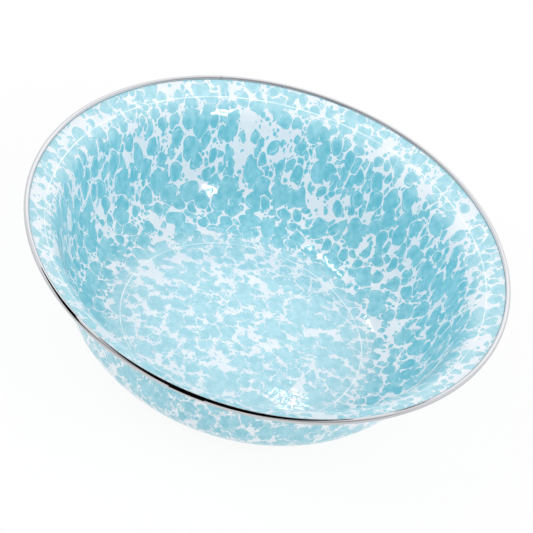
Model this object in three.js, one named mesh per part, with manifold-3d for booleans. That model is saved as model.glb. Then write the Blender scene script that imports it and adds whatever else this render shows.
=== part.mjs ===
// Enamelled steel serving bowl with a rolled stainless rim band.
// Millimetres, +Z up. The origin is the middle of the base, on the surface that the bowl stands on.

import * as THREE from "three";
import { mergeVertices } from "three/addons/utils/BufferGeometryUtils.js";
import Module from "manifold-3d";

// Bowl sizes. The inside sizes are those of the finished enamel surface.
const RIM_DIAMETER = 300; // over the rim band
const BOWL_HEIGHT = 81; // from the table to the top of the rim band
const FLOOR_DIAMETER = 154; // flat floor inside the bowl
const CORNER_RADIUS = 41; // inside, from the floor up into the wall
const LIP_WIDTH = 21; // level width of the flared lip with its band
const LIP_ANGLE = 28; // degrees, rise of the lip above level
const KNEE_RADIUS = 21; // inside, where the wall turns out into the lip

// Sheet and coats
const STEEL_THICKNESS = 0.8;
const ENAMEL_THICKNESS = 0.25;

// Rim band, a strip rolled to a C section over the cut edge of the lip
const BAND_THICKNESS = 0.4;
const BAND_BITE = 1.05; // from the middle of the bead in to the strip's edges
const BAND_CLEARANCE = 0.05; // between the strip's edges and the enamelled lip
const LIP_EDGE_CLEARANCE = 0.1; // between the cut edge and the inside of the bead
const BAND_JOINT_GAP = 0.3; // butt joint where the strip's ends meet
const BAND_JOINT_BEARING = 115; // degrees from +X towards +Y

// Fineness of the round stretches
const TURN_STEPS = 64;
const CORNER_STEPS = 6;
const KNEE_STEPS = 6;
const BEAD_OUTER_STEPS = 10;
const BEAD_INNER_STEPS = 8;

// Sizes that follow from the driving ones
const WALL_THICKNESS = STEEL_THICKNESS + 2 * ENAMEL_THICKNESS;
const RIM_RADIUS = RIM_DIAMETER / 2;
const LIP_SLOPE = THREE.MathUtils.degToRad(LIP_ANGLE);
const JAW_HEIGHT = WALL_THICKNESS / 2 + BAND_CLEARANCE; // from the lip's middle to the strip's edge
const BEAD_INNER_RADIUS = Math.hypot(BAND_BITE, JAW_HEIGHT);
const BEAD_OUTER_RADIUS = BEAD_INNER_RADIUS + BAND_THICKNESS;
const BEAD = new THREE.Vector2(RIM_RADIUS - BEAD_OUTER_RADIUS, BOWL_HEIGHT - BEAD_OUTER_RADIUS);

// Points in the section plane are (radius, height). The section of the inside surface is a level floor,
// an arc, a straight wall that is tangent to it, an arc the other way and the straight lip.
const outward = (slope) => new THREE.Vector2(Math.cos(slope), Math.sin(slope));
const inward = (slope) => new THREE.Vector2(-Math.sin(slope), Math.cos(slope));

// Middle of the corner arc, and the sharp knee where the wall and lip lines would cross
const CORNER_CENTRE = new THREE.Vector2(FLOOR_DIAMETER / 2, WALL_THICKNESS + CORNER_RADIUS);
const KNEE_INSET = LIP_WIDTH - BEAD_OUTER_RADIUS;
const SHARP_KNEE = new THREE.Vector2(
  RIM_RADIUS - LIP_WIDTH,
  BEAD.y - KNEE_INSET * Math.tan(LIP_SLOPE) + WALL_THICKNESS / 2 / Math.cos(LIP_SLOPE),
);

// The wall runs from the sharp knee down to its tangent on the corner arc
const KNEE_TO_CORNER = SHARP_KNEE.clone().sub(CORNER_CENTRE);
const WALL_SLOPE = KNEE_TO_CORNER.angle() + Math.asin(CORNER_RADIUS / KNEE_TO_CORNER.length());
const KNEE_SETBACK = KNEE_RADIUS * Math.tan((WALL_SLOPE - LIP_SLOPE) / 2);
const KNEE_CENTRE = SHARP_KNEE.clone()
  .addScaledVector(outward(LIP_SLOPE), KNEE_SETBACK)
  .addScaledVector(inward(LIP_SLOPE), -KNEE_RADIUS);

// Cut edge of the lip, at the middle of the sheet
const LIP_EDGE = BEAD.clone().addScaledVector(outward(LIP_SLOPE), BAND_BITE - LIP_EDGE_CLEARANCE);

function arcPoints(centre, radius, from, to, steps) {
  const points = [];
  for (let step = 0; step <= steps; step += 1) {
    const angle = from + ((to - from) * step) / steps;
    points.push(outward(angle).multiplyScalar(radius).add(centre));
  }
  return points;
}

// Section of the surface that lies a given depth below the inside surface, from the axis to the cut edge
function sectionAtDepth(depth) {
  const quarter = Math.PI / 2;
  return [
    new THREE.Vector2(0, WALL_THICKNESS - depth),
    ...arcPoints(CORNER_CENTRE, CORNER_RADIUS + depth, -quarter, WALL_SLOPE - quarter, CORNER_STEPS),
    ...arcPoints(KNEE_CENTRE, KNEE_RADIUS - depth, WALL_SLOPE + quarter, LIP_SLOPE + quarter, KNEE_STEPS),
    LIP_EDGE.clone().addScaledVector(inward(LIP_SLOPE), WALL_THICKNESS / 2 - depth),
  ];
}

function revolve(section) {
  return new THREE.LatheGeometry(section, TURN_STEPS).rotateX(Math.PI / 2);
}

function turnInsideOut(geometry) {
  const index = geometry.index;
  for (let corner = 0; corner < index.count; corner += 3) {
    const second = index.getX(corner + 1);
    index.setX(corner + 1, index.getX(corner + 2));
    index.setX(corner + 2, second);
  }
  geometry.computeVertexNormals();
  return geometry;
}

// A layer of the wall between two depths below the inside surface
function layer(depth, thickness) {
  const upper = sectionAtDepth(depth);
  const lower = sectionAtDepth(depth + thickness);
  return revolve([...lower, ...upper.reverse()]);
}

// A coat is drawn the other way round and turned, so its triangles on the steel are the steel's own
function coat(depth) {
  const upper = sectionAtDepth(depth);
  const lower = sectionAtDepth(depth + ENAMEL_THICKNESS);
  return turnInsideOut(revolve([...upper, ...lower.reverse()]));
}

// C section of the rim band, whose two edges bear on the top and the underside of the lip
function bandSection() {
  const outerTurn = Math.PI - Math.asin(JAW_HEIGHT / BEAD_OUTER_RADIUS);
  const innerTurn = Math.PI - Math.asin(JAW_HEIGHT / BEAD_INNER_RADIUS);
  const section = [
    ...arcPoints(BEAD, BEAD_OUTER_RADIUS, LIP_SLOPE - outerTurn, LIP_SLOPE + outerTurn, BEAD_OUTER_STEPS),
    ...arcPoints(BEAD, BEAD_INNER_RADIUS, LIP_SLOPE + innerTurn, LIP_SLOPE - innerTurn, BEAD_INNER_STEPS),
  ];
  return [...section, section[0].clone()];
}

const wasm = await Module();
wasm.setup();

function toSolid(geometry) {
  const bare = geometry.clone();
  bare.deleteAttribute("normal");
  bare.deleteAttribute("uv");
  const merged = mergeVertices(bare);
  const vertProperties = new Float32Array(merged.attributes.position.array);
  const triVerts = new Uint32Array(merged.index.array);
  return new wasm.Manifold(new wasm.Mesh({ numProp: 3, vertProperties, triVerts }));
}

function toGeometry(solid) {
  const mesh = solid.getMesh();
  const geometry = new THREE.BufferGeometry();
  geometry.setAttribute("position", new THREE.BufferAttribute(mesh.vertProperties, mesh.numProp));
  geometry.setIndex(new THREE.BufferAttribute(mesh.triVerts, 1));
  geometry.computeVertexNormals();
  return geometry;
}

// The closed ring of the band, cut through where the ends of the strip meet
function splitBand() {
  const cutSize = 4 * BEAD_OUTER_RADIUS;
  const cut = new THREE.BoxGeometry(cutSize, BAND_JOINT_GAP, cutSize)
    .translate(BEAD.x, 0, BEAD.y)
    .rotateZ(THREE.MathUtils.degToRad(BAND_JOINT_BEARING));
  return toGeometry(toSolid(revolve(bandSection())).subtract(toSolid(cut)));
}

function part(name, geometry, look) {
  const mesh = new THREE.Mesh(geometry, new THREE.MeshStandardMaterial(look));
  mesh.name = name;
  return mesh;
}

const sheetSteel = { color: 0x5c6064, roughness: 0.5, metalness: 1 };
const mottledEnamel = { color: 0x9fd5e4, roughness: 0.08, metalness: 0 };
const polishedSteel = { color: 0xc9ccd0, roughness: 0.12, metalness: 1 };

const bowl = new THREE.Group();
bowl.add(
  part("steel_shell", layer(ENAMEL_THICKNESS, STEEL_THICKNESS), sheetSteel),
  part("inner_enamel", coat(0), mottledEnamel),
  part("outer_enamel", coat(ENAMEL_THICKNESS + STEEL_THICKNESS), mottledEnamel),
  part("rim_band", splitBand(), polishedSteel),
);

export default bowl;
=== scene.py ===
import math

import bpy
from mathutils import Euler, Matrix, Vector


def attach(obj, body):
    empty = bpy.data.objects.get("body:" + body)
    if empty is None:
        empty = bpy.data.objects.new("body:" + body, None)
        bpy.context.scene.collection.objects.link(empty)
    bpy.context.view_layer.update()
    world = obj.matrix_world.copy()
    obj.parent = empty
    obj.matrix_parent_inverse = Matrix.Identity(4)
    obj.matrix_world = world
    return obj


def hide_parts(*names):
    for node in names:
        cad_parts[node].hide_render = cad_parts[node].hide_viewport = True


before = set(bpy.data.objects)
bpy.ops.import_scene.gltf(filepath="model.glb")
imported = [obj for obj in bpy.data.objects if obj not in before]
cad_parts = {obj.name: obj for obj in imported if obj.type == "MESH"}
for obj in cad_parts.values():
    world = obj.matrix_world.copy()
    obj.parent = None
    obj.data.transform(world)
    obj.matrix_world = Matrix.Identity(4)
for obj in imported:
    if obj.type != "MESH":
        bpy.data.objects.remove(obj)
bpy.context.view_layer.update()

# Enamelled steel serving bowl with a stainless rim band, in a white studio. Metres, +Z up.

MM = 0.001

# Bowl sizes, the same as the solids have
RIM_RADIUS = 150 * MM
BOWL_HEIGHT = 81 * MM
FLOOR_RADIUS = 77 * MM
CORNER_RADIUS = 41 * MM
LIP_WIDTH = 21 * MM
LIP_SLOPE = math.radians(28)
KNEE_RADIUS = 21 * MM
STEEL_THICKNESS = 0.8 * MM
ENAMEL_THICKNESS = 0.25 * MM
WALL_THICKNESS = STEEL_THICKNESS + 2 * ENAMEL_THICKNESS

# Rim band
BAND_THICKNESS = 0.4 * MM
BAND_BITE = 1.05 * MM
BAND_CLEARANCE = 0.05 * MM
LIP_EDGE_CLEARANCE = 0.1 * MM
BAND_JOINT_GAP = 0.3 * MM
BAND_JOINT_BEARING = math.radians(115)

# Fineness of the round stretches
TURN_STEPS = 224
CORNER_STEPS = 28
KNEE_STEPS = 24
FLOOR_RINGS = 6
BEAD_OUTER_STEPS = 28
BEAD_INNER_STEPS = 12
SHARP_ANGLE = math.radians(40)

# Layout of the enamel's pattern: the bowl laid out flat, in millimetres from its middle.
# Less than the wall's full height widens the layout, so drops run down the wall.
WALL_SPREAD = 0.38

# Layers of drops, largest first: spacing, share that is there, smallest and largest radius, in millimetres
DROP_LAYERS = (
    (11.8, 1.0, 3.4, 7.7),
    (7.8, 1.0, 2.2, 5.3),
    (5.0, 0.97, 1.2, 3.4),
    (2.9, 0.68, 0.4, 1.2),
)
SQUEEZE = 1.5  # largest radius of a drop, as a share of the free distance to larger drops
SMALL_BIAS = 1.4  # above 1, small drops are more common than large ones
DROP_GAP = (-0.5, 0.6)  # least and most room between a drop and larger ones, in millimetres
SOFT_EDGE = 0.22  # half the width of a drop's edge, in millimetres
NO_DROP = -9.0  # depth where there is no drop

# White patches, where drops are few, and the lip, where they are fewer
PATCH_RANGE = (0.31, 0.42)
PATCH_SHARE = 0.3
LIP_FEWER_RANGE = (150.0, 168.0)
LIP_FEWER_SHARE = 0.20

# How far the drops' outlines wander and tear, in millimetres
WOBBLE = 6.0
FLOOR_TEAR = 5.0
INNER_WALL_TEAR = 0.7
OUTER_WALL_TEAR = 9.0
TEAR_FADE = 20.0  # from the floor's edge outwards

# Noise features per millimetre of the layout
WOBBLE_GRAIN = 0.10
TEAR_GRAIN = 0.30
PATCH_GRAIN = 0.04
SWIRL_GRAIN = 0.2
CLOUD_GRAIN = 0.05
RIPPLE_GRAIN = 0.16
HIGHLIGHT_RING_GRAIN = 0.06

# Share of white that the turquoise takes in, by place: on the inside floor and lip it is painted reflection;
# on the wall and the outside it is the coat's own paler tone
FLOOR_SHEEN = 0.31
WALL_PALE = 0.03
LIP_SHEEN = 0.30
OUTER_PALE = 0.10
FLOOR_SHEEN_FADE = 16.0
LIP_SHEEN_RANGE = (148.0, 164.0)

# Paler ring inside some drops, by its depth in the drop, in millimetres
RING_DEPTH = 1.1
RING_WIDTHS = (0.1, 0.45)
RING_SHARE = 0.35

# Painted highlight: fine white rings at the floor's edge and the start of the lip, in place of highlight
# lines on these bends: half widths of the core and of the soft edge, in millimetres
HIGHLIGHT_RING_WIDTHS = (0.15, 0.55)
HIGHLIGHT_RING_SHARES = (0.4, 0.95)

# Relief of the coat, which is wavier where it gathers in the corner, in millimetres from the floor's edge
RELIEF_HEIGHT = 0.05 * MM
GATHER_START = (0.0, 7.0)
GATHER_END = (15.0, 27.0)
FLAT_RIPPLE = 0.5
CORNER_RIPPLE = 2.0
CORNER_RELIEF = 3.0

# Seeds of the two coats' patterns
INNER_SEED = 0
OUTER_SEED = 1400

# Colours
DEEP_TURQUOISE = (0.132, 0.50, 0.613, 1)
PALE_TURQUOISE = (0.28, 0.63, 0.73, 1)
EDGE_TURQUOISE = (0.17, 0.55, 0.66, 1)
# Pale turquoise of the painted reflection on the inside floor and lip, also of the coat's paler tone and of
# rings in drops
PALE_AND_SHEEN_TURQUOISE = (0.77, 0.88, 0.92, 1)
COOL_WHITE = (0.74, 0.80, 0.86, 1)
WARM_WHITE = (0.79, 0.84, 0.88, 1)
# Colour of the painted highlight rings
HIGHLIGHT_WHITE = (0.93, 0.95, 0.96, 1)
SHEET_STEEL = (0.2, 0.2, 0.21, 1)
STAINLESS = (0.55, 0.56, 0.58, 1)
FLOOR_GREY = (0.86, 0.86, 0.86, 1)
CARD_BLACK = (0.004, 0.004, 0.004, 1)
LAMP_WHITE = (1, 1, 1, 1)

# Gloss
ENAMEL_ROUGHNESS = (0.015, 0.04)
ENAMEL_IOR = 1.55
SHEET_ROUGHNESS = 0.5
SHEET_GRAIN = 0.02 * MM
STAINLESS_ROUGHNESS = 0.03
STAINLESS_GRAIN = 0.001 * MM
STEEL_GRAINS = 900.0  # per metre

# Camera, as fitted to the photograph's 533 x 533 frame
PHOTO_SIDE = 533
CAMERA_ELEVATION = math.radians(41.47)
CAMERA_ROLL = math.radians(17.95)
CAMERA_DISTANCE = 1.5
CAMERA_FOCAL_PIXELS = 2496.6
CAMERA_SLIDE = (2.65 * MM, 16.78 * MM)
SENSOR_WIDTH = 36
CLIP_START = 0.01

# Light levels, where 1 is white: the even fill, then what the bowl mirrors
HORIZON_FILL = 0.78
ZENITH_FILL = 0.77
CANOPY = 1.15
FRONT = 0.50
BACKDROP = 1.60
FLOOR_GLOW_SHARE = 0.92

# Studio floor
FLOOR_HALF_SIDE = 6.0
FLOOR_DROP = 0.3 * MM

# Black cards over the front of the bowl, chosen to give the dark line on its rim, in millimetres
CARD_HEIGHT = 130
FRONT_CARD = (
    (-100, -340), (15, -340), (60, -165), (82, -95), (70, -30), (45, 20),
    (25, -30), (-25, -35), (-74, -58), (-84, -98), (-76, -150), (-76, -190),
)
LEFT_CARD = (
    (-95, -70), (-118, -60), (-140, -52), (-165, -68), (-178, -105),
    (-400, -240), (-400, -420), (-155, -150), (-120, -115),
)
RIGHT_CARD = ((80, 20), (95, -45), (112, -65), (118, -45), (100, 20))
FLAP_SPAN = (-100, -25)
FLAP_DEPTH = -340
FLAP_BOTTOM = 5


# Section of the bowl, in points of radius and height


def outward(slope):
    return Vector((math.cos(slope), math.sin(slope)))


def inward(slope):
    return Vector((-math.sin(slope), math.cos(slope)))


JAW_HEIGHT = WALL_THICKNESS / 2 + BAND_CLEARANCE
BEAD_INNER_RADIUS = math.hypot(BAND_BITE, JAW_HEIGHT)
BEAD_OUTER_RADIUS = BEAD_INNER_RADIUS + BAND_THICKNESS
BEAD = Vector((RIM_RADIUS - BEAD_OUTER_RADIUS, BOWL_HEIGHT - BEAD_OUTER_RADIUS))
CORNER_CENTRE = Vector((FLOOR_RADIUS, WALL_THICKNESS + CORNER_RADIUS))
KNEE_DROP = (LIP_WIDTH - BEAD_OUTER_RADIUS) * math.tan(LIP_SLOPE)
SHARP_KNEE = Vector((
    RIM_RADIUS - LIP_WIDTH,
    BEAD.y - KNEE_DROP + WALL_THICKNESS / 2 / math.cos(LIP_SLOPE),
))
KNEE_TO_CORNER = SHARP_KNEE - CORNER_CENTRE
WALL_SLOPE = (
    math.atan2(KNEE_TO_CORNER.y, KNEE_TO_CORNER.x)
    + math.asin(CORNER_RADIUS / KNEE_TO_CORNER.length)
)
KNEE_SETBACK = KNEE_RADIUS * math.tan((WALL_SLOPE - LIP_SLOPE) / 2)
KNEE_CENTRE = SHARP_KNEE + outward(LIP_SLOPE) * KNEE_SETBACK - inward(LIP_SLOPE) * KNEE_RADIUS
LIP_EDGE = BEAD + outward(LIP_SLOPE) * (BAND_BITE - LIP_EDGE_CLEARANCE)
LIP_START = KNEE_CENTRE + inward(LIP_SLOPE) * KNEE_RADIUS

# Edge of the floor and start of the lip on the layout, in millimetres from its middle
FLOOR_LINE = (FLOOR_RADIUS + WALL_SPREAD * WALL_THICKNESS) / MM
LIP_LINE = (LIP_START.x + WALL_SPREAD * LIP_START.y) / MM


def arc(centre, radius, start, end, steps):
    turn = (end - start) / steps
    return [centre + outward(start + turn * step) * radius for step in range(steps + 1)]


def section_at_depth(depth):
    """Section of the surface at a depth below the inside surface, from the axis to the cut edge."""
    quarter = math.pi / 2
    height = WALL_THICKNESS - depth
    floor = [Vector((FLOOR_RADIUS * ring / FLOOR_RINGS, height)) for ring in range(FLOOR_RINGS)]
    corner = arc(CORNER_CENTRE, CORNER_RADIUS + depth, -quarter, WALL_SLOPE - quarter, CORNER_STEPS)
    knee = arc(KNEE_CENTRE, KNEE_RADIUS - depth, WALL_SLOPE + quarter, LIP_SLOPE + quarter, KNEE_STEPS)
    edge = LIP_EDGE + inward(LIP_SLOPE) * (WALL_THICKNESS / 2 - depth)
    return [*floor, *corner, *knee, edge]


def band_section():
    """C section of the rim band, round the cut edge of the lip."""
    outer = math.pi - math.asin(JAW_HEIGHT / BEAD_OUTER_RADIUS)
    inner = math.pi - math.asin(JAW_HEIGHT / BEAD_INNER_RADIUS)
    return [
        *arc(BEAD, BEAD_OUTER_RADIUS, LIP_SLOPE - outer, LIP_SLOPE + outer, BEAD_OUTER_STEPS),
        *arc(BEAD, BEAD_INNER_RADIUS, LIP_SLOPE + inner, LIP_SLOPE - inner, BEAD_INNER_STEPS),
    ]


# Meshes


def new_piece(name, vertices, faces):
    mesh = bpy.data.meshes.new(name)
    mesh.from_pydata(vertices, [], faces)
    mesh.validate()
    mesh.shade_smooth()
    mesh.set_sharp_from_angle(angle=SHARP_ANGLE)
    piece = bpy.data.objects.new(name, mesh)
    bpy.context.scene.collection.objects.link(piece)
    return piece


def around(point, bearing):
    return (point.x * math.cos(bearing), point.x * math.sin(bearing), point.y)


def layer_piece(name, depth, thickness):
    """A closed layer of the wall, from the axis out to the cut edge of the lip and back."""
    lower = section_at_depth(depth + thickness)
    upper = section_at_depth(depth)
    loop = [*lower[1:], *reversed(upper[1:])]
    count = len(loop)
    vertices = [
        around(point, 2 * math.pi * step / TURN_STEPS) for step in range(TURN_STEPS) for point in loop
    ]
    under = len(vertices)
    over = under + 1
    vertices += [around(lower[0], 0), around(upper[0], 0)]
    faces = []
    for step in range(TURN_STEPS):
        here = step * count
        there = (step + 1) % TURN_STEPS * count
        faces.append((under, there, here))
        faces.append((over, here + count - 1, there + count - 1))
        for row in range(count - 1):
            faces.append((here + row, there + row, there + row + 1, here + row + 1))
    return new_piece(name, vertices, faces)


def band_piece(name):
    """The C section swept round the rim from one end of the strip to the other."""
    section = band_section()
    count = len(section)
    half_gap = BAND_JOINT_GAP / 2 / BEAD.x
    first = BAND_JOINT_BEARING + half_gap
    sweep = 2 * math.pi - 2 * half_gap
    vertices = [
        around(point, first + sweep * step / TURN_STEPS)
        for step in range(TURN_STEPS + 1)
        for point in section
    ]
    faces = []
    for step in range(TURN_STEPS):
        here = step * count
        there = (step + 1) * count
        for row in range(count):
            after = (row + 1) % count
            faces.append((here + row, there + row, there + after, here + after))
    last = TURN_STEPS * count
    faces.append(tuple(range(count)))
    faces.append(tuple(last + row for row in reversed(range(count))))
    return new_piece(name, vertices, faces)


# Shader nodes


class Graph:
    """Adds nodes to a tree. An input is a socket to link or a plain value."""

    def __init__(self, tree):
        self.tree = tree
        tree.nodes.clear()

    def feed(self, socket, value):
        if isinstance(value, bpy.types.NodeSocket):
            self.tree.links.new(value, socket)
        else:
            socket.default_value = value

    def node(self, kind, inputs=(), **settings):
        node = self.tree.nodes.new(kind)
        for name, value in settings.items():
            setattr(node, name, value)
        for name, value in dict(inputs).items():
            self.feed(node.inputs[name], value)
        return node

    def math(self, operation, first, second=0.0, third=0.0):
        node = self.node("ShaderNodeMath", {0: first, 1: second, 2: third}, operation=operation)
        return node.outputs[0]

    def vector(self, operation, first, second=(0, 0, 0), scale=1.0):
        inputs = {0: first, 1: second, 3: scale}
        return self.node("ShaderNodeVectorMath", inputs, operation=operation).outputs[0]

    def length(self, vector):
        return self.node("ShaderNodeVectorMath", {0: vector}, operation="LENGTH").outputs["Value"]

    def axes(self, vector):
        return self.node("ShaderNodeSeparateXYZ", {"Vector": vector}).outputs

    def ramp(self, value, low, high, start=0.0, end=1.0, smooth=True):
        inputs = {"Value": value, "From Min": low, "From Max": high, "To Min": start, "To Max": end}
        kind = "SMOOTHSTEP" if smooth else "LINEAR"
        return self.node("ShaderNodeMapRange", inputs, interpolation_type=kind).outputs["Result"]

    def mix(self, share, first, second):
        inputs = {0: share, 6: first, 7: second}
        return self.node("ShaderNodeMix", inputs, data_type="RGBA").outputs[2]

    def noise(self, point, scale, detail=2.0, roughness=0.5):
        inputs = {"Vector": point, "Scale": scale, "Detail": detail, "Roughness": roughness}
        return self.node("ShaderNodeTexNoise", inputs, noise_dimensions="2D").outputs

    def cells(self, point, scale, scatter=0.75):
        inputs = {"Vector": point, "Scale": scale, "Randomness": scatter}
        return self.node("ShaderNodeTexVoronoi", inputs, voronoi_dimensions="2D", feature="F1").outputs

    def finish(self, shader, output="ShaderNodeOutputMaterial"):
        self.feed(self.node(output).inputs["Surface"], shader.outputs[0])


def new_material(name):
    material = bpy.data.materials.new(name)
    material.use_nodes = True
    return material, Graph(material.node_tree)


# Enamel


def layout_place(graph):
    """Place on the layout in millimetres: the bowl laid out flat round its axis, with the wall drawn in."""
    place = graph.node("ShaderNodeTexCoord").outputs["Object"]
    flat = graph.vector("MULTIPLY", place, (1, 1, 0))
    radius = graph.length(flat)
    height = graph.axes(place)["Z"]
    steepness = graph.math("DIVIDE", height, graph.math("MAXIMUM", radius, FLOOR_RADIUS))
    spread = graph.math("MULTIPLY_ADD", steepness, WALL_SPREAD, 1.0)
    return graph.vector("SCALE", flat, scale=graph.math("MULTIPLY", spread, 1 / MM))


def shifted_noise(graph, place, shift, scale, detail, roughness=0.5):
    return graph.noise(graph.vector("ADD", place, shift), scale, detail, roughness)


def ragged_point(graph, place, reach, seed, wall_tear):
    """The place on the layout, moved about so that the outlines of drops wander and tear."""
    middle = (0.5, 0.5, 0.5)
    wobble = shifted_noise(graph, place, (seed, 0, 0), WOBBLE_GRAIN, 1)["Color"]
    wobble = graph.vector("SUBTRACT", wobble, middle)
    point = graph.vector("ADD", place, graph.vector("SCALE", wobble, scale=WOBBLE))
    tear = shifted_noise(graph, place, (0, seed + 40, 0), TEAR_GRAIN, 3, 0.6)["Color"]
    tear = graph.vector("SUBTRACT", tear, middle)
    torn = graph.ramp(reach, FLOOR_LINE, FLOOR_LINE + TEAR_FADE, FLOOR_TEAR, wall_tear)
    return graph.vector("ADD", point, graph.vector("SCALE", tear, scale=torn))


def drop_share(graph, centre, presence, seed):
    """Share of a layer's drops that is there: less in white patches and on the lip."""
    patch = shifted_noise(graph, centre, (77 + seed, 19, 0), PATCH_GRAIN, 0)["Fac"]
    share = graph.ramp(patch, *PATCH_RANGE, PATCH_SHARE, presence)
    fewer = graph.ramp(graph.length(centre), *LIP_FEWER_RANGE, 0.0, LIP_FEWER_SHARE)
    return graph.math("SUBTRACT", share, fewer)


def drops(graph, point, order, seed):
    """Depth in millimetres inside one layer of drops, which keep out of the way of larger ones."""
    cell, presence, smallest, largest = DROP_LAYERS[order]
    shift = (101 * order + seed, 57 * order, 0)
    near = graph.cells(graph.vector("ADD", point, shift), 1 / cell)
    chance = graph.node("ShaderNodeSeparateColor", {"Color": near["Color"]}).outputs
    centre = graph.vector("SUBTRACT", near["Position"], shift)

    size = graph.math("POWER", chance["Red"], SMALL_BIAS)
    radius = graph.ramp(size, 0.0, 1.0, smallest, largest, smooth=False)
    for larger in range(order):
        beside = drops(graph, centre, larger, seed)[0]
        radius = graph.math("MINIMUM", radius, graph.math("MULTIPLY", beside, -SQUEEZE))

    missing = graph.math("GREATER_THAN", chance["Green"], drop_share(graph, centre, presence, seed))
    radius = graph.math("MULTIPLY_ADD", missing, -2 * cell, radius)
    depth = graph.math("MULTIPLY_ADD", near["Distance"], -cell, radius)
    return depth, chance


def all_drops(graph, point, seed):
    """Depth inside the drops of all layers, and a chance tone for each drop."""
    depth = NO_DROP
    tone = 0.5
    for order in range(len(DROP_LAYERS)):
        layer, chance = drops(graph, point, order, seed)
        gap = graph.ramp(chance["Blue"], 0.2, 0.8, *DROP_GAP)
        away = graph.math("SUBTRACT", graph.math("MULTIPLY", depth, -1.0), gap)
        layer = graph.math("MINIMUM", layer, away)
        inside = graph.math("GREATER_THAN", layer, depth)
        change = graph.math("MULTIPLY", graph.math("SUBTRACT", chance["Red"], tone), inside)
        tone = graph.math("ADD", tone, change)
        depth = graph.math("MAXIMUM", depth, layer)
    return depth, tone


def painted_highlight_rings(graph, place, reach):
    """Share of white on two fine broken rings at the floor's edge and the start of the lip: a painted
    highlight along these bends.
    """
    broken = graph.ramp(graph.noise(place, HIGHLIGHT_RING_GRAIN)["Fac"], 0.3, 0.6, *HIGHLIGHT_RING_SHARES)
    rings = 0.0
    for line in (FLOOR_LINE, LIP_LINE):
        away = graph.math("ABSOLUTE", graph.math("SUBTRACT", reach, line))
        rings = graph.math("ADD", rings, graph.ramp(away, *HIGHLIGHT_RING_WIDTHS, 1.0, 0.0))
    return graph.math("MULTIPLY", rings, broken)


def pale_and_sheen_share(graph, reach, depth, swirl, tone_and_sheen):
    """Share of white in the turquoise, by place on the bowl and on a ring inside some drops. By place, the
    inside floor and lip are paler as painted reflection.
    """
    floor_tone_sheen, wall_pale, lip_tone_sheen = tone_and_sheen
    by_place = graph.math(
        "ADD",
        graph.ramp(reach, FLOOR_LINE, FLOOR_LINE + FLOOR_SHEEN_FADE, floor_tone_sheen, wall_pale),
        graph.ramp(reach, *LIP_SHEEN_RANGE, 0.0, lip_tone_sheen - wall_pale),
    )
    inset = graph.math("ABSOLUTE", graph.math("SUBTRACT", depth, RING_DEPTH))
    ring = graph.math(
        "MULTIPLY",
        graph.ramp(inset, *RING_WIDTHS, 1.0, 0.0),
        graph.ramp(swirl, 0.45, 0.60, 0.0, RING_SHARE),
    )
    return graph.math("ADD", by_place, ring)


def enamel_colour(graph, place, reach, depth, tone, swirl, tone_and_sheen):
    """Turquoise drops on white, with painted highlight rings over both."""
    lighter = graph.ramp(graph.math("MULTIPLY_ADD", tone, 0.3, swirl), 0.45, 1.0)
    body = graph.mix(lighter, DEEP_TURQUOISE, PALE_TURQUOISE)
    blue = graph.mix(graph.ramp(depth, 0.1, 1.4), EDGE_TURQUOISE, body)
    # Paler turquoise by place, which is painted reflection on the inside floor and lip, and paler rings in
    # some drops
    blue = graph.mix(pale_and_sheen_share(graph, reach, depth, swirl, tone_and_sheen), blue, PALE_AND_SHEEN_TURQUOISE)
    cloud = graph.ramp(graph.noise(place, CLOUD_GRAIN)["Fac"], 0.3, 0.7)
    white = graph.mix(cloud, COOL_WHITE, WARM_WHITE)
    mottled = graph.mix(graph.ramp(depth, -SOFT_EDGE, SOFT_EDGE), white, blue)
    # Painted highlight: white rings at the floor's edge and the start of the lip
    return graph.mix(painted_highlight_rings(graph, place, reach), mottled, HIGHLIGHT_WHITE)


def enamel_normal(graph, place, reach, depth):
    """Raised drops on a rippled coat, both stronger where the coat gathers in the corner."""
    gather_start = [FLOOR_LINE + limit for limit in GATHER_START]
    gather_end = [FLOOR_LINE + limit for limit in GATHER_END]
    gathered = graph.math(
        "MULTIPLY",
        graph.ramp(reach, *gather_start),
        graph.ramp(reach, *gather_end, 1.0, 0.0),
    )
    ripple = graph.noise(place, RIPPLE_GRAIN)["Fac"]
    waves = graph.math("MULTIPLY_ADD", gathered, CORNER_RIPPLE, FLAT_RIPPLE)
    relief = graph.ramp(depth, -0.5, 0.8)
    raised = graph.math("MULTIPLY", relief, graph.math("MULTIPLY_ADD", gathered, CORNER_RELIEF, 1.0))
    height = graph.math("MULTIPLY_ADD", ripple, waves, raised)
    bump = graph.node("ShaderNodeBump", {"Height": height, "Distance": RELIEF_HEIGHT, "Strength": 1.0})
    return bump.outputs["Normal"]


def enamel_material(name, seed, tone_and_sheen, wall_tear):
    """Glossy white enamel with turquoise drops. pale is its share of white on floor, wall and lip; where
    floor and lip are paler than the wall it is painted reflection.
    """
    material, graph = new_material(name)
    place = layout_place(graph)
    reach = graph.length(place)
    point = ragged_point(graph, place, reach, seed, wall_tear)
    depth, tone = all_drops(graph, point, seed)
    swirl = shifted_noise(graph, place, (5, 91, 17), SWIRL_GRAIN, 4, 0.62)["Fac"]
    graph.finish(graph.node("ShaderNodeBsdfPrincipled", {
        "Base Color": enamel_colour(graph, place, reach, depth, tone, swirl, tone_and_sheen),
        "Roughness": graph.ramp(swirl, 0.3, 0.8, *ENAMEL_ROUGHNESS, smooth=False),
        "Normal": enamel_normal(graph, place, reach, depth),
        "IOR": ENAMEL_IOR,
    }))
    return material


# Steel


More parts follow.
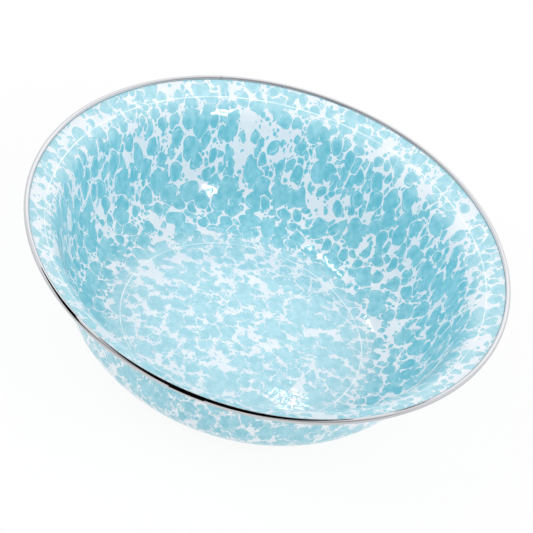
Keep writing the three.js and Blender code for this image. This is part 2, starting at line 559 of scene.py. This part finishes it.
def steel_material(name, colour, roughness, grain):
    """Metal with a fine grain, whose height is given."""
    material, graph = new_material(name)
    place = graph.node("ShaderNodeTexCoord").outputs["Object"]
    fine = graph.noise(place, STEEL_GRAINS, 3)["Fac"]
    bump = graph.node("ShaderNodeBump", {"Height": fine, "Distance": grain, "Strength": 1.0})
    graph.finish(graph.node("ShaderNodeBsdfPrincipled", {
        "Base Color": colour,
        "Metallic": 1.0,
        "Roughness": graph.ramp(fine, 0.3, 0.7, roughness * 0.8, roughness * 1.3, smooth=False),
        "Normal": bump.outputs["Normal"],
    }))
    return material


# Pieces


def dress(piece, node, material):
    piece.data.materials.append(material)
    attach(piece, "root")
    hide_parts(node)
    return piece


def make_inner_coat():
    # Painted reflection: the inside floor and lip are paler than the wall
    tone_and_sheen = (FLOOR_SHEEN, WALL_PALE, LIP_SHEEN)
    material = enamel_material("inner mottled enamel", INNER_SEED, tone_and_sheen, INNER_WALL_TEAR)
    coat = layer_piece("inner_enamel_coat", 0, ENAMEL_THICKNESS)
    return dress(coat, "inner_enamel", material)


def make_outer_coat():
    tone_and_sheen = (OUTER_PALE, OUTER_PALE, OUTER_PALE)
    material = enamel_material("outer mottled enamel", OUTER_SEED, tone_and_sheen, OUTER_WALL_TEAR)
    coat = layer_piece("outer_enamel_coat", ENAMEL_THICKNESS + STEEL_THICKNESS, ENAMEL_THICKNESS)
    return dress(coat, "outer_enamel", material)


def make_steel_core():
    material = steel_material("sheet steel", SHEET_STEEL, SHEET_ROUGHNESS, SHEET_GRAIN)
    core = layer_piece("steel_core", ENAMEL_THICKNESS, STEEL_THICKNESS)
    return dress(core, "steel_shell", material)


def make_rim_band():
    material = steel_material("polished stainless", STAINLESS, STAINLESS_ROUGHNESS, STAINLESS_GRAIN)
    return dress(band_piece("polished_rim_band"), "rim_band", material)


# Studio


def make_camera():
    back = Vector((0, -math.cos(CAMERA_ELEVATION), math.sin(CAMERA_ELEVATION)))
    level = Vector((1, 0, 0))
    rise = back.cross(level)
    right = level * math.cos(CAMERA_ROLL) + rise * math.sin(CAMERA_ROLL)
    up = rise * math.cos(CAMERA_ROLL) - level * math.sin(CAMERA_ROLL)
    middle = Vector((0, 0, BEAD.y))
    place = middle + back * CAMERA_DISTANCE - right * CAMERA_SLIDE[0] - up * CAMERA_SLIDE[1]
    data = bpy.data.cameras.new("photo camera")
    data.sensor_width = SENSOR_WIDTH
    data.lens = CAMERA_FOCAL_PIXELS * SENSOR_WIDTH / PHOTO_SIDE
    data.clip_start = CLIP_START
    camera = bpy.data.objects.new("photo camera", data)
    camera.matrix_world = Matrix.Translation(place) @ Matrix((right, up, back)).transposed().to_4x4()
    bpy.context.scene.collection.objects.link(camera)
    bpy.context.scene.camera = camera


def make_floor():
    """A floor that is white to the camera and in reflections, and keeps the bowl's shadow."""
    half = FLOOR_HALF_SIDE
    corners = [(x, y, -FLOOR_DROP) for x, y in ((-half, -half), (half, -half), (half, half), (-half, half))]
    floor = new_piece("studio_floor", corners, [(0, 1, 2, 3)])
    material, graph = new_material("white floor")
    path = graph.node("ShaderNodeLightPath").outputs
    seen = graph.math("MAXIMUM", path["Is Camera Ray"], path["Is Glossy Ray"])
    share = graph.math("MULTIPLY", seen, FLOOR_GLOW_SHARE)
    matt = graph.node("ShaderNodeBsdfDiffuse", {"Color": FLOOR_GREY})
    glow = graph.node("ShaderNodeEmission", {"Color": LAMP_WHITE, "Strength": 1.0})
    graph.finish(graph.node("ShaderNodeMixShader", {0: share, 1: matt.outputs[0], 2: glow.outputs[0]}))
    floor.data.materials.append(material)


def make_cards():
    """Black cards over the front of the bowl that show only in reflections, as the dark line on its rim."""
    left, right = FLAP_SPAN
    flap = ((left, CARD_HEIGHT), (right, CARD_HEIGHT), (right, FLAP_BOTTOM), (left, FLAP_BOTTOM))
    outlines = [[(x, y, CARD_HEIGHT) for x, y in card] for card in (FRONT_CARD, LEFT_CARD, RIGHT_CARD)]
    outlines.append([(x, FLAP_DEPTH, z) for x, z in flap])
    corners = []
    faces = []
    for outline in outlines:
        faces.append(range(len(corners), len(corners) + len(outline)))
        corners += [Vector(corner) * MM for corner in outline]
    cards = new_piece("black_cards", corners, faces)
    material, graph = new_material("black card")
    graph.finish(graph.node("ShaderNodeBsdfDiffuse", {"Color": CARD_BLACK}))
    cards.data.materials.append(material)
    cards.visible_camera = False
    cards.visible_diffuse = False
    cards.visible_shadow = False


def make_world():
    """Even fill light, and a room for reflections: dim in front, light above and brightest behind."""
    world = bpy.data.worlds.new("studio room")
    world.use_nodes = True
    graph = Graph(world.node_tree)
    path = graph.node("ShaderNodeLightPath").outputs
    towards = graph.axes(graph.node("ShaderNodeTexCoord").outputs["Generated"])
    front = graph.math(
        "MULTIPLY",
        graph.ramp(towards["Y"], -0.25, 0.1, 1.0, 0.0),
        graph.ramp(towards["Z"], 0.1, 0.5),
    )
    behind = graph.math(
        "MULTIPLY",
        graph.ramp(towards["Y"], 0.5, 0.7),
        graph.ramp(towards["Z"], 0.35, 0.6),
    )
    mirrored = graph.math("MULTIPLY_ADD", front, FRONT - CANOPY, CANOPY)
    mirrored = graph.math("MULTIPLY_ADD", behind, BACKDROP - CANOPY, mirrored)
    even = graph.ramp(towards["Z"], 0.0, 0.9, HORIZON_FILL, ZENITH_FILL)
    fill = graph.node("ShaderNodeBackground", {"Color": LAMP_WHITE, "Strength": even})
    room = graph.node("ShaderNodeBackground", {"Color": LAMP_WHITE, "Strength": mirrored})
    graph.finish(
        graph.node("ShaderNodeMixShader", {0: path["Is Glossy Ray"], 1: fill.outputs[0], 2: room.outputs[0]}),
        output="ShaderNodeOutputWorld",
    )
    bpy.context.scene.world = world


def hang_lamp(name, place, turn, size, radiance):
    """A rectangular lamp out of the camera's sight."""
    data = bpy.data.lights.new(name, "AREA")
    data.shape = "RECTANGLE"
    data.size, data.size_y = size
    data.energy = radiance * math.pi * size[0] * size[1]
    lamp = bpy.data.objects.new(name, data)
    lamp.location = place
    lamp.rotation_euler = turn
    lamp.visible_camera = False
    bpy.context.scene.collection.objects.link(lamp)
    return lamp


def towards_bowl(place):
    """Turn of a lamp that faces the middle of the bowl's base."""
    return (-Vector(place)).to_track_quat("-Z", "Y").to_euler()


def fill_lamp(name, place, size, radiance):
    """A lamp that lights the bowl and doesn't show on it."""
    lamp = hang_lamp(name, place, towards_bowl(place), size, radiance)
    lamp.visible_glossy = False


def only_highlight(lamp, receivers):
    """Makes a lamp show as a highlight on the receivers, and light nothing."""
    lamp.visible_diffuse = False
    lamp.light_linking.receiver_collection = receivers


def softbox(name, place, size, radiance, receivers):
    """A lamp that faces the bowl and only shows as a highlight."""
    only_highlight(hang_lamp(name, place, towards_bowl(place), size, radiance), receivers)


def strip(name, start, end, width, radiance, receivers):
    """A lamp that hangs level from start to end and only shows as a highlight."""
    along = Vector(end) - Vector(start)
    middle = (Vector(start) + Vector(end)) / 2
    turn = Euler((0, 0, math.atan2(along.y, along.x)))
    only_highlight(hang_lamp(name, middle, turn, (along.length, width), radiance), receivers)


def make_lamps(inner_coat):
    inside = bpy.data.collections.new("inside of the bowl")
    inside.objects.link(inner_coat)
    fill_lamp("front fill", place=(0, -1.5, 0.9), size=(3.2, 1.0), radiance=0.25)
    fill_lamp("right fill", place=(1.6, -0.4, 1.4), size=(1.2, 1.2), radiance=3.4)
    fill_lamp("left fill", place=(-1.6, -0.4, 1.4), size=(1.2, 1.2), radiance=3.2)
    softbox("right softbox", place=(0.82, -0.75, 0.71), size=(0.17, 0.44), radiance=16.0, receivers=inside)
    strip(
        "left back strip", start=(-0.24, 0.24, 1.5), end=(-0.38, 0.63, 1.5),
        width=0.09, radiance=14.0, receivers=inside,
    )
    strip(
        "rear spot", start=(0.07, 1.49, 1.5), end=(0.12, 1.49, 1.5),
        width=0.02, radiance=14.0, receivers=inside,
    )
    strip(
        "left rear spot", start=(-0.47, 1.26, 1.5), end=(-0.33, 1.19, 1.5),
        width=0.11, radiance=18.0, receivers=inside,
    )


# The scene

inner_coat = make_inner_coat()
make_outer_coat()
make_steel_core()
make_rim_band()
make_camera()
make_floor()
make_cards()
make_world()
make_lamps(inner_coat)
bpy.context.scene.view_settings.view_transform = "Standard"
